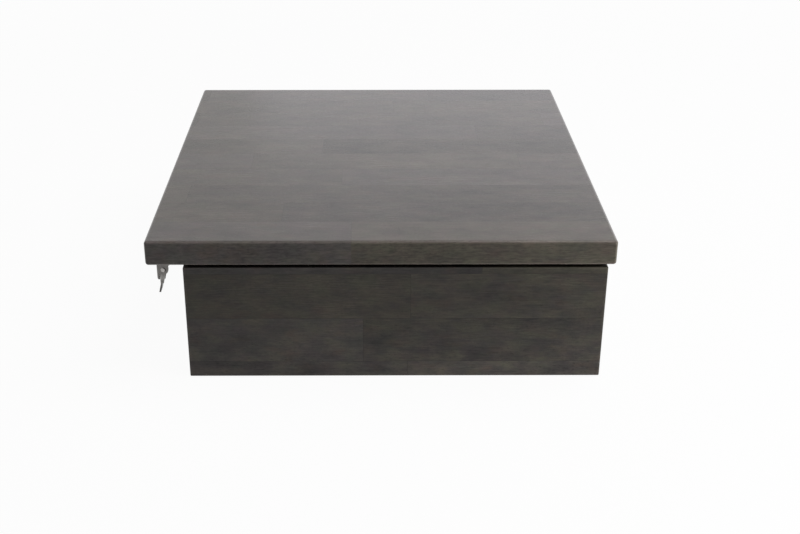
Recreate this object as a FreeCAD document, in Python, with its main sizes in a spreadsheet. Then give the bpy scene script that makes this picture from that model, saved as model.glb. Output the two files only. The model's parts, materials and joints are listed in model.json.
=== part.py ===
import FreeCAD, Part
import os
import re

import Sketcher

# A nightstand that hangs on the side rail of a bed: a thick wooden top, a low carcass with one
# drawer on ball-bearing slides, and two steel clips under the top's long left overhang.
# +X is to the right, +Y to the rear and +Z up. The origin lies under the middle of the top,
# level with the lower edge of the carcass. All sizes are in millimetres.

SIZES = [
    # The top
    ("top_width", 450, "top, left to right"),
    ("top_depth", 480, "top, front to rear"),
    ("top_thickness", 25, "thickness of the top"),
    ("top_rounding", 3, "rounding of the top's edges"),
    ("left_overhang", 35, "top past the drawer front, on the side of the bed"),
    ("right_overhang", 7, "top past the drawer front, on the free side"),
    ("back_overhang", 4, "top past the rear of the carcass"),
    # The carcass
    ("side_thickness", 16, "thickness of the carcass sides"),
    ("side_inset", 1, "carcass sides inside the ends of the drawer front"),
    ("back_thickness", 16, "thickness of the back panel"),
    ("bottom_thickness", 8, "thickness of the bottom panel"),
    ("bottom_lift", 6, "bottom panel above the lower edge of the carcass"),
    ("bottom_groove", 5, "depth of the grooves that hold the bottom panel"),
    ("finger_gap", 34, "bottom panel behind the carcass's front edges, room for fingers"),
    ("panel_rounding", 0.8, "rounding of the carcass panels' edges"),
    ("groove_play", 0.2, "play of a panel in its grooves"),
    # Dowels and cam fittings between the panels
    ("dowel_radius", 4, "radius of a dowel"),
    ("dowel_length", 30, "length of a dowel"),
    ("dowel_bite", 11, "length of a dowel in the top or in a carcass side"),
    ("dowel_end_gap", 1, "room past the ends of a dowel"),
    ("dowel_inset", 50, "dowels under the top, from the ends of a side"),
    ("back_dowel_inset", 26, "dowels in the back panel, from its upper and lower edges"),
    ("cam_radius", 7.5, "radius of a cam"),
    ("cam_wall", 0.5, "floor of a cam behind the bolt's head"),
    ("cam_drop", 24, "middle of a cam below the top"),
    ("cam_inset", 100, "cams, from the ends of a side"),
    ("cam_play", 0.1, "play round a cam"),
    ("bolt_radius", 3, "radius of a cam bolt's shank"),
    ("bolt_bite", 12, "length of a cam bolt in the top"),
    ("bolt_head", 3.5, "radius of a cam bolt's head"),
    ("bolt_play", 0.5, "play round a cam bolt"),
    # The drawer
    ("front_setback", 2, "drawer front behind the front edge of the top"),
    ("front_thickness", 19, "thickness of the drawer front"),
    ("front_height", 120, "height of the drawer front"),
    ("front_rounding", 1.2, "rounding of the drawer front's edges"),
    ("front_top_gap", 3, "gap between the top and the drawer front"),
    ("floor_gap", 1, "drawer front above the lower edge of the carcass"),
    ("closing_gap", 2, "gap between the drawer front and the carcass"),
    ("box_tail", 4, "drawer box past the rear of its rails"),
    ("box_headroom", 16, "gap between the top and the drawer box"),
    ("box_lift", 24, "drawer box above the lower edge of the carcass"),
    ("box_thickness", 12, "thickness of the drawer box's walls"),
    ("finger_count", 3, "notches in each end of a drawer side"),
    ("rim_rounding", 1.5, "rounding of the drawer box's rim"),
    ("floor_thickness", 4, "thickness of the drawer's floor"),
    ("floor_lift", 8, "drawer's floor above the lower edge of its box"),
    ("floor_groove", 6, "depth of the grooves that hold the drawer's floor"),
    ("bumper_radius", 4, "radius of a closing bumper"),
    ("bumper_inset", 20, "bumpers, from the upper and lower edges of a side"),
    ("bumper_play", 0.3, "drawer front off the bumpers"),
    # The ball-bearing slides
    ("slide_thickness", 13, "carcass side to drawer side"),
    ("slide_setback", 4, "slides behind the carcass's front edges"),
    ("slide_rear_gap", 24.7, "slides ahead of the back panel"),
    ("rail_height", 45, "height of the outer rail"),
    ("rail_gauge", 1.2, "thickness of the rails' steel"),
    ("bend_radius", 0.4, "inside radius of the rails' bends"),
    ("running_gap", 0.4, "gap between the webs of rails and cages"),
    ("stop_gap", 0.3, "moving rails off their stops"),
    ("stop_length", 8, "length of a slide's stop"),
    ("stop_height", 30, "height of a slide's stop"),
    ("stop_rounding", 2, "rounding of a slide's stop"),
    ("ball_radius", 2, "radius of a ball"),
    ("ball_line_step", 3, "sideways step between the two lines of balls"),
    ("race_gap", 3, "gap between facing flanges, which the balls bridge"),
    ("race_play", 0.2, "play of a ball in its raceway"),
    ("race_lip", 0.5, "flange past the balls"),
    ("cage_gauge", 0.6, "thickness of a ball cage's steel"),
    ("cage_end", 18, "cage past the middle of its last ball"),
    ("cage_play", 0.15, "play of a ball in its cage"),
    ("ball_pitch", 36, "distance between balls in a row"),
    ("ball_count", 5, "balls in a row"),
    # Screws
    ("rail_screw_radius", 1.6, "radius of a rail screw's shank"),
    ("rail_screw_head", 3.4, "radius of a rail screw's head"),
    ("rail_screw_bite", 10, "length of a rail screw in the wood"),
    ("rail_screw_inset", 30, "outermost rail screws, from the ends of a rail"),
    ("rail_screw_count", 3, "screws in each rail"),
    ("front_screw_radius", 2, "radius of a drawer front screw's shank"),
    ("front_screw_head", 4, "radius of a drawer front screw's head"),
    ("front_screw_crown", 2.4, "height of a drawer front screw's head"),
    ("front_screw_bite", 12, "length of a drawer front screw in the front"),
    ("front_screw_inset", 70, "drawer front screws, from the ends of the box"),
    ("front_screw_rise", 25, "drawer front screws, from the box's upper and lower edges"),
    # The clips that hold the bed's side rail against the carcass
    ("clip_inset", 3, "clips inside the left edge of the top"),
    ("clip_end", 51, "middle of a clip, from the front or rear edge of the top"),
    ("clip_gauge", 2, "thickness of the clips' steel"),
    ("clip_width", 11.5, "clip housing, left to right"),
    ("clip_span", 22, "clip housing across its cheeks, front to rear"),
    ("clip_ear", 20, "screw ears past the cheeks"),
    ("clip_drop", 35, "web of a clip housing below the top"),
    ("clip_rounding", 1.5, "rounding of a clip housing's bends"),
    ("ear_rounding", 3, "rounding of the ends of the ears and of the web"),
    ("pin_radius", 1.8, "radius of a clip's rivet"),
    ("pin_drop", 23.5, "middle of a rivet below the top"),
    ("pin_offset", 6.4, "middle of a rivet from the outside of the web"),
    ("pin_play", 0.06, "play of a tongue on its rivet"),
    ("pin_head", 2.6, "radius of a rivet's heads"),
    ("pin_crown", 1.2, "height of a rivet's heads"),
    ("lobe_radius", 5.1, "radius of the cheeks' rounded ends"),
    ("tongue_gauge", 1.8, "thickness of a tongue's steel"),
    ("tongue_bend", 1.2, "rounding of a tongue's bends"),
    ("tongue_play", 0.5, "gap between a tongue and the cheeks"),
    ("tongue_eye", 3, "radius of a tongue's eye"),
    ("tongue_length", 27, "tip of a tongue below its rivet"),
    ("knee_drop", 18, "knee of a tongue below its rivet"),
    ("knee_offset", 4.4, "strip and knee of a tongue to the left of its rivet"),
    ("tip_offset", 6.5, "tip of a tongue to the left of its rivet"),
    ("flange_head", 2.4, "a tongue's side flanges to the right of its rivet"),
    ("flange_foot", 1.4, "lower ends of a tongue's flanges to the right of its strip"),
    ("flange_gap", 1, "lower ends of a tongue's flanges above its knee"),
    ("web_leg", 2.5, "legs of a clip's web beside the window for its tongue, inside the cheeks"),
    ("window_rise", 4.5, "upper edge of a web's window above the rivet"),
    ("clip_screw_radius", 2, "radius of a clip screw's shank"),
    ("clip_screw_head", 4, "radius of a clip screw's head"),
    ("clip_screw_bite", 16, "length of a clip screw in the top"),
    ("clip_screw_inset", 9, "clip screws from the ends of the base plate"),
]

# Places worked out from the sizes, as formulas in the sheet's names
PLACES = {
    "top_left": "-top_width / 2",
    "top_right": "top_width / 2",
    "top_front": "-top_depth / 2",
    "top_rear": "top_depth / 2",
    "top_underside": "front_height + front_top_gap + floor_gap",
    "front_left": "top_left + left_overhang",
    "front_right": "top_right - right_overhang",
    "front_face": "top_front + front_setback",
    "front_rear": "front_face + front_thickness",
    "carcass_front": "front_rear + closing_gap",
    "carcass_rear": "top_rear - back_overhang",
    "carcass_left": "front_left + side_inset",
    "carcass_right": "front_right - side_inset",
    "bay_left": "carcass_left + side_thickness",
    "bay_right": "carcass_right - side_thickness",
    "bay_rear": "carcass_rear - back_thickness",
    "bottom_front": "carcass_front + finger_gap",
    "bottom_top": "bottom_lift + bottom_thickness",
    "box_left": "bay_left + slide_thickness",
    "box_right": "bay_right - slide_thickness",
    "box_rear": "slide_front + rail_length + box_tail",
    "box_top": "top_underside - box_headroom",
    "box_height": "box_top - box_lift",
    "inside_left": "box_left + box_thickness",
    "inside_right": "box_right - box_thickness",
    "inside_front": "front_rear + box_thickness",
    "inside_rear": "box_rear - box_thickness",
    "floor_level": "box_lift + floor_lift",
    "slide_front": "carcass_front + slide_setback",
    "slide_rear": "bay_rear - slide_rear_gap",
    "slide_level": "(box_lift + box_top) / 2",
    "rail_length": "slide_rear - stop_length - stop_gap - slide_front",
    "cage_length": "(ball_count - 1) * ball_pitch + 2 * cage_end",
    "cage_front": "slide_front + (rail_length - cage_length) / 2",
    # Distances into a slide from the carcass side
    "outer_cage_web": "rail_gauge + running_gap",
    "middle_web": "outer_cage_web + cage_gauge + running_gap",
    "inner_cage_web": "middle_web + rail_gauge + running_gap",
    "inner_edge": "inner_cage_web + cage_gauge + running_gap",
    "inner_web": "slide_thickness - rail_gauge",
    "inner_lip": "inner_web - running_gap",
    "inner_balls": "inner_lip - race_lip - ball_radius",
    "outer_balls": "inner_balls - ball_line_step",
    "outer_lip": "outer_balls + ball_radius + race_lip",
    # Heights in a slide from its middle
    "outer_half": "rail_height / 2",
    "outer_ball_half": "outer_half - rail_gauge - race_gap / 2",
    "middle_half": "outer_half - rail_gauge - race_gap",
    "inner_ball_half": "middle_half - rail_gauge - race_gap / 2",
    "inner_half": "middle_half - rail_gauge - race_gap",
    # The clips
    "clip_left": "top_left + clip_inset",
    "clip_right": "clip_left + clip_width",
    "pin_across": "clip_left + pin_offset",
    "pin_level": "top_underside - pin_drop",
    "tongue_width": "clip_span - 2 * clip_gauge - 2 * tongue_play",
    "strip_width": "tongue_width - 2 * web_leg",
    # The cams
    "cam_depth": "side_thickness / 2 + bolt_head + bolt_play + cam_wall",
}

X, Y, Z = FreeCAD.Vector(1, 0, 0), FreeCAD.Vector(0, 1, 0), FreeCAD.Vector(0, 0, 1)
PLANES = {"x": "YZ_Plane", "y": "XZ_Plane", "z": "XY_Plane"}
SKETCH_AXES = {"x": "yz", "y": "xz", "z": "xy"}
NORMAL = {"x": 1, "y": -1, "z": 1}
TINY = 1e-6

doc = FreeCAD.newDocument("nightstand")
sheet = doc.addObject("Spreadsheet::Sheet", "sizes")
for row, (name, value, note) in enumerate(SIZES, start=1):
    sheet.set(f"A{row}", note)
    sheet.set(f"B{row}", str(value))
    sheet.setAlias(f"B{row}", name)
doc.recompute()

corners = {}
volumes = {}
parts = []


def formula(text):
    # The text with each name turned into its cell, or into the formula of its place
    def swap(match):
        word = match.group(0)
        if word in PLACES:
            return "(" + formula(PLACES[word]) + ")"
        return "sizes." + word

    return re.sub(r"[a-z]+(?:_[a-z]+)+", swap, str(text))


def size(name):
    return float(sheet.get(name))


def count(name):
    return int(size(name))


def same(one, other):
    return abs(one - other) < TINY


def bind(thing, **properties):
    for path, text in properties.items():
        thing.setExpression(path.replace("__", "."), formula(text))


def place(thing, corner, direction=Z):
    # Puts a thing at a corner or centre, with its own Z axis along a direction
    thing.Placement = FreeCAD.Placement(FreeCAD.Vector(), FreeCAD.Rotation(Z, direction))
    for axis, text in zip("xyz", corner):
        bind(thing, **{f"Placement__Base__{axis}": text})
    return thing


# Bodies of sketches and features. Every formula is in the part's frame, and is taken back to the
# body's own corner here.


def new_body(label, corner):
    body = doc.addObject("PartDesign::Body", label)
    body.Label = label
    place(body, corner)
    corners[label] = dict(zip("xyz", corner))
    parts.append(body)
    return body


def own(body, axis, text):
    return f"({text}) - ({corners[body.Label][axis]})"


def new_sketch(body, axis, level):
    # A sketch square to an axis, at a level along it
    sketch = body.newObject("Sketcher::SketchObject", body.Label + "_sketch")
    plane = next(f for f in body.Origin.OriginFeatures if f.Role == PLANES[axis])
    sketch.AttachmentSupport = [(plane, "")]
    sketch.MapMode = "FlatFace"
    bind(sketch, AttachmentOffset__Base__z=f"{NORMAL[axis]} * ({own(body, axis, level)})")
    return sketch


def pin_point(sketch, body, axis, element, point, across, up):
    # Holds a point of the sketch at two formulas
    for kind, name, text in zip(("DistanceX", "DistanceY"), SKETCH_AXES[axis], (across, up)):
        index = sketch.addConstraint(Sketcher.Constraint(kind, -1, 1, element, point, 1.0))
        sketch.setExpression(f"Constraints[{index}]", formula(own(body, name, text)))


def draw_outline(sketch, body, axis, points):
    # A closed outline of straight edges through points given as pairs of formulas
    seeds = [FreeCAD.Vector(i, i * i, 0) for i in range(len(points))]
    first = sketch.GeometryCount
    for i, seed in enumerate(seeds):
        sketch.addGeometry(Part.LineSegment(seed, seeds[(i + 1) % len(seeds)]), False)
    for i in range(len(points)):
        following = first + (i + 1) % len(points)
        sketch.addConstraint(Sketcher.Constraint("Coincident", first + i, 2, following, 1))
    for i, (across, up) in enumerate(points):
        pin_point(sketch, body, axis, first + i, 1, across, up)


def draw_circle(sketch, body, axis, across, up, radius):
    index = sketch.addGeometry(Part.Circle(FreeCAD.Vector(), Z, 1.0), False)
    pin_point(sketch, body, axis, index, 3, across, up)
    held = sketch.addConstraint(Sketcher.Constraint("Radius", index, 1.0))
    sketch.setExpression(f"Constraints[{held}]", formula(radius))


def rectangle(low_across, low_up, high_across, high_up):
    return [
        (low_across, low_up),
        (high_across, low_up),
        (high_across, high_up),
        (low_across, high_up),
    ]


def finish_feature(body, feature, sign=0):
    # Recomputes, and makes sure that the feature added (1), took away (-1) or changed (0) material
    before = volumes.get(body.Label, 0.0)
    body.Tip = feature
    doc.recompute()
    volumes[body.Label] = feature.Shape.Volume
    change = feature.Shape.Volume - before
    if abs(change) < TINY or change * sign < 0:
        raise RuntimeError(f"{body.Label}: {feature.Name} changed the volume by {change}")
    return feature


def pad(body, sketch, axis, length):
    # Adds material from the sketch towards the axis's positive end
    feature = body.newObject("PartDesign::Pad", body.Label + "_pad")
    feature.Profile = sketch
    feature.Reversed = NORMAL[axis] < 0
    bind(feature, Length=length)
    return finish_feature(body, feature, 1)


def cut(body, sketch, axis, depth, towards):
    # Takes material away from the sketch, towards the axis's positive (1) or negative (-1) end
    feature = body.newObject("PartDesign::Pocket", body.Label + "_pocket")
    feature.Profile = sketch
    feature.Reversed = NORMAL[axis] == towards
    bind(feature, Length=depth)
    return finish_feature(body, feature, -1)


def pad_outline(body, axis, level, length, points):
    sketch = new_sketch(body, axis, level)
    draw_outline(sketch, body, axis, points)
    return pad(body, sketch, axis, length)


def cut_outline(body, axis, level, depth, towards, points):
    sketch = new_sketch(body, axis, level)
    draw_outline(sketch, body, axis, points)
    return cut(body, sketch, axis, depth, towards)


def drill(body, axis, level, depth, towards, radius, centres):
    # Round holes of one size from a face
    sketch = new_sketch(body, axis, level)
    for across, up in centres:
        draw_circle(sketch, body, axis, across, up, radius)
    return cut(body, sketch, axis, depth, towards)


def countersink(body, centre, direction, wide, narrow, depth):
    # A cone that narrows along a direction, for the head of a screw
    feature = body.newObject("PartDesign::SubtractiveCone", body.Label + "_countersink")
    bind(feature, Radius1=wide, Radius2=narrow, Height=depth)
    place(feature, [own(body, axis, text) for axis, text in zip("xyz", centre)], direction)
    return finish_feature(body, feature, -1)


def edges_along(shape, axis, chosen=lambda middle: True):
    # The names of the straight edges along an axis whose middles, in the body's frame, are chosen
    names = []
    for i, edge in enumerate(shape.Edges, start=1):
        box = edge.BoundBox
        spans = {"x": box.XLength, "y": box.YLength, "z": box.ZLength}
        straight = all(span < TINY for name, span in spans.items() if name != axis)
        if straight and chosen(box.Center):
            names.append(f"Edge{i}")
    return names


def round_edges(body, radius, names=None):
    # Rounds the named edges, or all edges
    base = body.Tip
    feature = body.newObject("PartDesign::Fillet", body.Label + "_rounding")
    feature.Base = (base, names or [f"Edge{i}" for i in range(1, len(base.Shape.Edges) + 1)])
    bind(feature, Radius=radius)
    return finish_feature(body, feature)


def slab(label, low, high, rounding=None):
    # A flat panel between two corners
    body = new_body(label, low)
    outline = rectangle(low[0], low[1], high[0], high[1])
    pad_outline(body, "z", low[2], f"({high[2]}) - ({low[2]})", outline)
    if rounding:
        round_edges(body, rounding)
    return body


# Turned pieces and groups of like pieces


def primitive(kind, centre, direction=Z, **sizes):
    thing = doc.addObject("Part::" + kind, kind.lower())
    bind(thing, **sizes)
    return place(thing, centre, direction)


def group(label, members):
    compound = doc.addObject("Part::Compound", label)
    compound.Label = label
    compound.Links = members
    parts.append(compound)
    return compound


def joined(*members):
    fuse = doc.addObject("Part::MultiFuse", "turned")
    fuse.Shapes = members
    return fuse


def along(centre, direction, text):
    # A point moved along X, Y or Z by a formula
    steps = (direction.x, direction.y, direction.z)
    return [f"({c}) + {int(step)} * ({text})" if step else c for c, step in zip(centre, steps)]


def countersunk_screw(centre, direction, head, shank, sink, bite):
    # A screw whose flat head starts at the centre and narrows over the depth of its countersink
    crown = primitive("Cone", centre, direction, Radius1=head, Radius2=shank, Height=sink)
    seat = along(centre, direction, sink)
    return joined(crown, primitive("Cylinder", seat, direction, Radius=shank, Height=bite))


def pan_screw(centre, direction, head, crown, shank, length):
    # A screw whose raised head seats on the face that the centre lies on
    cap = primitive("Cone", centre, -direction, Radius1=head, Radius2=shank, Height=crown)
    return joined(cap, primitive("Cylinder", centre, direction, Radius=shank, Height=length))


# Top, carcass sides, back and bottom


def paired_rows(inset):
    # Two places along a carcass side, as far from its front as from its rear
    return [f"carcass_front + {inset}", f"carcass_rear - {inset}"]


SIDES = {
    "left": {"sign": 1, "outer": "carcass_left", "inner": "bay_left", "box": "box_left"},
    "right": {"sign": -1, "outer": "carcass_right", "inner": "bay_right", "box": "box_right"},
}
CLIPS = {"front": "top_front + clip_end", "rear": "top_rear - clip_end"}
clip_screw_rows = {
    name: [
        f"{middle} - clip_span / 2 - clip_ear + clip_screw_inset",
        f"{middle} + clip_span / 2 + clip_ear - clip_screw_inset",
    ]
    for name, middle in CLIPS.items()
}
clip_centre = "clip_left + clip_width / 2"
back_middle = "carcass_rear - back_thickness / 2"
back_dowel_levels = ["back_dowel_inset", "top_underside - back_dowel_inset"]


def side_middle(side):
    return f"{SIDES[side]['outer']} + {SIDES[side]['sign']} * side_thickness / 2"


def make_top():
    top = slab(
        "top_panel",
        ("top_left", "top_front", "top_underside"),
        ("top_right", "top_rear", "top_underside + top_thickness"),
        "top_rounding",
    )
    dowels = [(side_middle(s), y) for s in SIDES for y in paired_rows("dowel_inset")]
    drill(top, "z", "top_underside", "dowel_bite + dowel_end_gap", 1, "dowel_radius", dowels)
    bolts = [(side_middle(s), y) for s in SIDES for y in paired_rows("cam_inset")]
    drill(top, "z", "top_underside", "bolt_bite", 1, "bolt_radius", bolts)
    screws = [(clip_centre, y) for rows in clip_screw_rows.values() for y in rows]
    drill(top, "z", "top_underside", "clip_screw_bite", 1, "clip_screw_radius", screws)


def make_side(name):
    side = SIDES[name]
    low, high = side["outer"], side["inner"]
    if name == "right":
        low, high = high, low
    panel = slab(
        f"{name}_side_panel",
        (low, "carcass_front", "0"),
        (high, "carcass_rear", "top_underside"),
        "panel_rounding",
    )
    outward = -side["sign"]
    groove = rectangle("bottom_front", "bottom_lift", "bay_rear + bottom_groove", "bottom_top")
    cut_outline(panel, "x", side["inner"], "bottom_groove", outward, groove)
    middle = side_middle(name)
    top_dowels = [(middle, y) for y in paired_rows("dowel_inset")]
    depth = "dowel_length - dowel_bite + dowel_end_gap"
    drill(panel, "z", "top_underside", depth, -1, "dowel_radius", top_dowels)
    back_dowels = [(back_middle, z) for z in back_dowel_levels]
    depth = "dowel_bite + dowel_end_gap"
    drill(panel, "x", side["inner"], depth, outward, "dowel_radius", back_dowels)
    bolts = [(middle, y) for y in paired_rows("cam_inset")]
    drill(panel, "z", "top_underside", "cam_drop", -1, "bolt_radius + bolt_play", bolts)
    cams = [(y, "top_underside - cam_drop") for y in paired_rows("cam_inset")]
    drill(panel, "x", side["inner"], "cam_depth", outward, "cam_radius + cam_play", cams)
    screws = [(y, "slide_level") for y in rail_screw_rows()]
    drill(panel, "x", side["inner"], "rail_screw_bite", outward, "rail_screw_radius", screws)


def make_back():
    back = slab(
        "back_panel",
        ("bay_left", "bay_rear", "0"),
        ("bay_right", "carcass_rear", "top_underside"),
        "panel_rounding",
    )
    groove = rectangle("bay_left", "bottom_lift", "bay_right", "bottom_top")
    cut_outline(back, "y", "bay_rear", "bottom_groove", 1, groove)
    depth = "dowel_length - dowel_bite + dowel_end_gap"
    holes = [(back_middle, z) for z in back_dowel_levels]
    drill(back, "x", "bay_left", depth, 1, "dowel_radius", holes)
    drill(back, "x", "bay_right", depth, -1, "dowel_radius", holes)


def make_bottom():
    slab(
        "bottom_panel",
        ("bay_left - bottom_groove + groove_play", "bottom_front", "bottom_lift"),
        (
            "bay_right + bottom_groove - groove_play",
            "bay_rear + bottom_groove - groove_play",
            "bottom_top - groove_play",
        ),
    )


def make_panel_fittings():
    dowels, cams, bolts = [], [], []
    dowel = {"Radius": "dowel_radius", "Height": "dowel_length"}
    for name, side in SIDES.items():
        inward = X * side["sign"]
        for y in paired_rows("dowel_inset"):
            foot = (side_middle(name), y, "top_underside - dowel_length + dowel_bite")
            dowels.append(primitive("Cylinder", foot, Z, **dowel))
        for z in back_dowel_levels:
            foot = along((side["inner"], back_middle, z), -inward, "dowel_bite")
            dowels.append(primitive("Cylinder", foot, inward, **dowel))
        for y in paired_rows("cam_inset"):
            face = (side["inner"], y, "top_underside - cam_drop")
            disc = primitive("Cylinder", face, -inward, Radius="cam_radius", Height="cam_depth")
            centre = (side_middle(name), y, "top_underside - cam_drop")
            mouth = primitive(
                "Cylinder", centre, Z, Radius="bolt_head + bolt_play", Height="2 * cam_radius"
            )
            pocket = primitive("Sphere", centre, Z, Radius="bolt_head + bolt_play")
            cam = doc.addObject("Part::Cut", "cam")
            cam.Base, cam.Tool = disc, joined(mouth, pocket)
            cams.append(cam)
            head = primitive("Sphere", centre, Z, Radius="bolt_head")
            shank = primitive(
                "Cylinder", centre, Z, Radius="bolt_radius", Height="cam_drop + bolt_bite"
            )
            bolts.append(joined(head, shank))
    group("panel_dowels", dowels)
    group("cams", cams)
    group("cam_bolts", bolts)


def make_bumpers():
    bumpers = []
    for name in SIDES:
        for z in ("bumper_inset", "top_underside - bumper_inset"):
            seat = (side_middle(name), "carcass_front", z)
            bumper = {"Radius": "bumper_radius", "Height": "closing_gap - bumper_play"}
            bumpers.append(primitive("Cylinder", seat, -Y, **bumper))
    group("front_bumpers", bumpers)


# The drawer: a finger-jointed box with a floor in grooves, and a front screwed on from inside


def fingers():
    # Heights of the finger joints' steps, from the lower edge of the box to its upper edge
    steps = 2 * count("finger_count") + 1
    return [f"box_lift + {i} * box_height / (2 * finger_count + 1)" for i in range(steps + 1)]


def comb(low, high, low_inside, high_inside, notched):
    # The outline of a box wall whose fingers reach to low and high, and whose notches stop inside
    heights = fingers()
    near, far = [], []
    for i, (bottom, top) in enumerate(zip(heights, heights[1:])):
        short = i % 2 == notched
        near += [(low_inside if short else low, z) for z in (bottom, top)]
        far += [(high_inside if short else high, z) for z in (bottom, top)]
    return far + near[::-1]


front_screw_places = [
    (x, z)
    for x in ("box_left + front_screw_inset", "box_right - front_screw_inset")
    for z in ("box_lift + front_screw_rise", "box_top - front_screw_rise")
]


def rail_screw_rows():
    # Even places along a rail for its screws
    gaps = count("rail_screw_count") - 1
    step = "(rail_length - 2 * rail_screw_inset) / (rail_screw_count - 1)"
    return [f"slide_front + rail_screw_inset + {i} * {step}" for i in range(gaps + 1)]


def make_drawer_front():
    front = slab(
        "drawer_front",
        ("front_left", "front_face", "floor_gap"),
        ("front_right", "front_rear", "floor_gap + front_height"),
        "front_rounding",
    )
    radius = "front_screw_radius"
    drill(front, "y", "front_rear", "front_screw_bite", -1, radius, front_screw_places)


def floor_slot(low, high):
    return rectangle(low, "floor_level", high, "floor_level + floor_thickness + groove_play")


def round_rim(wall, axis):
    # Rounds the two edges along the top of a drawer wall
    shape = wall.Tip.Shape
    rim = edges_along(shape, axis, lambda middle: same(middle.z, shape.BoundBox.ZMax))
    round_edges(wall, "rim_rounding", rim)


def make_drawer_end(label, near, groove_level, towards):
    # The inner front or the back of the box, between and through the ends of its sides
    wall = new_body(label, ("box_left", near, "box_lift"))
    outline = comb("box_left", "box_right", "inside_left", "inside_right", 0)
    pad_outline(wall, "y", near, "box_thickness", outline)
    slot = floor_slot("inside_left - floor_groove", "inside_right + floor_groove")
    cut_outline(wall, "y", groove_level, "floor_groove", towards, slot)
    round_rim(wall, "x")
    return wall


def make_drawer_side(name):
    side = SIDES[name]
    low = "box_left" if name == "left" else "inside_right"
    inner = "inside_left" if name == "left" else "inside_right"
    wall = new_body(f"drawer_{name}_side", (low, "front_rear", "box_lift"))
    outline = comb("front_rear", "box_rear", "inside_front", "inside_rear", 1)
    pad_outline(wall, "x", low, "box_thickness", outline)
    slot = floor_slot("inside_front - floor_groove", "inside_rear + floor_groove")
    cut_outline(wall, "x", inner, "floor_groove", -side["sign"], slot)
    round_rim(wall, "y")
    screws = [(y, "slide_level") for y in rail_screw_rows()]
    depth = "rail_screw_bite"
    drill(wall, "x", side["box"], depth, side["sign"], "rail_screw_radius", screws)


def make_drawer():
    make_drawer_front()
    inner_front = make_drawer_end("drawer_inner_front", "front_rear", "inside_front", -1)
    through = ("front_screw_radius", front_screw_places)
    drill(inner_front, "y", "front_rear", "box_thickness", 1, *through)
    make_drawer_end("drawer_back", "inside_rear", "inside_rear", 1)
    for name in SIDES:
        make_drawer_side(name)
    slab(
        "drawer_floor",
        (
            "inside_left - floor_groove + groove_play",
            "inside_front - floor_groove + groove_play",
            "floor_level",
        ),
        (
            "inside_right + floor_groove - groove_play",
            "inside_rear + floor_groove - groove_play",
            "floor_level + floor_thickness",
        ),
    )
    length = "box_thickness + front_screw_bite"
    sizes = ("front_screw_head", "front_screw_crown", "front_screw_radius", length)
    screws = [pan_screw((x, "inside_front", z), -Y, *sizes) for x, z in front_screw_places]
    group("drawer_front_screws", screws)


# The slides: an outer rail on the carcass, a middle rail, an inner rail on the drawer, and
# between them two cages of balls


def channel(web, edge, half, gauge):
    # The section of a channel, from the outside of its web to the edges of its two flanges
    thick = f"{web} + {gauge}"
    return [
        (web, f"-({half})"),
        (edge, f"-({half})"),
        (edge, f"-({half}) + {gauge}"),
        (thick, f"-({half}) + {gauge}"),
        (thick, f"({half}) - {gauge}"),
        (edge, f"({half}) - {gauge}"),
        (edge, f"({half})"),
        (web, f"({half})"),
    ]


def slide_point(side, into, up):
    # A point of a slide's section: how far it lies from the carcass side, and above the middle
    return f"{side['inner']} + {side['sign']} * ({into})", f"slide_level + ({up})"


def round_bends(body, gauge, web_at_low_x):
    # Rounds the outside and the inside of a channel's two bends
    box = body.Tip.Shape.BoundBox
    web = box.XMin if web_at_low_x else box.XMax
    outside = edges_along(body.Tip.Shape, "y", lambda middle: same(middle.x, web))
    round_edges(body, f"{gauge} + bend_radius", outside)
    corner = size(gauge)
    inside = edges_along(
        body.Tip.Shape,
        "y",
        lambda middle: same(abs(middle.x - web), corner)
        and same(abs(middle.z), box.ZMax - corner),
    )
    round_edges(body, "bend_radius", inside)


def make_channel(label, side, front, length, section, gauge, lines=(), faces_drawer=True):
    # A rolled channel along the slide, with raceways for lines of balls
    body = new_body(label, (side["inner"], front, "slide_level"))
    pad_outline(body, "y", front, length, [slide_point(side, *point) for point in section])
    round_bends(body, gauge, (side["sign"] > 0) == faces_drawer)
    for into, half in lines:
        sketch = new_sketch(body, "y", front)
        for up in (half, f"-({half})"):
            across, level = slide_point(side, into, up)
            draw_circle(sketch, body, "y", across, level, "ball_radius + race_play")
        cut(body, sketch, "y", length, 1)
    return body


def make_cage(label, side, web, balls, half):
    # A thin channel with a round window for each ball in its two flanges
    outside = f"{half} + cage_gauge / 2"
    edge = f"{balls} + ball_radius + race_lip"
    section = channel(web, edge, outside, "cage_gauge")
    body = make_channel(label, side, "cage_front", "cage_length", section, "cage_gauge")
    across = slide_point(side, balls, "0")[0]
    windows = [(across, y) for y in ball_rows()]
    for level, towards in ((f"slide_level + {outside}", -1), (f"slide_level - ({outside})", 1)):
        drill(body, "z", level, "cage_gauge", towards, "ball_radius + cage_play", windows)


def ball_rows():
    # Places of the balls along a cage
    return [f"cage_front + cage_end + {i} * ball_pitch" for i in range(count("ball_count"))]


def make_balls(label, side, balls, half):
    members = []
    for up in (half, f"-({half})"):
        across, level = slide_point(side, balls, up)
        for y in ball_rows():
            members.append(primitive("Sphere", (across, y, level), Z, Radius="ball_radius"))
    group(label, members)


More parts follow.
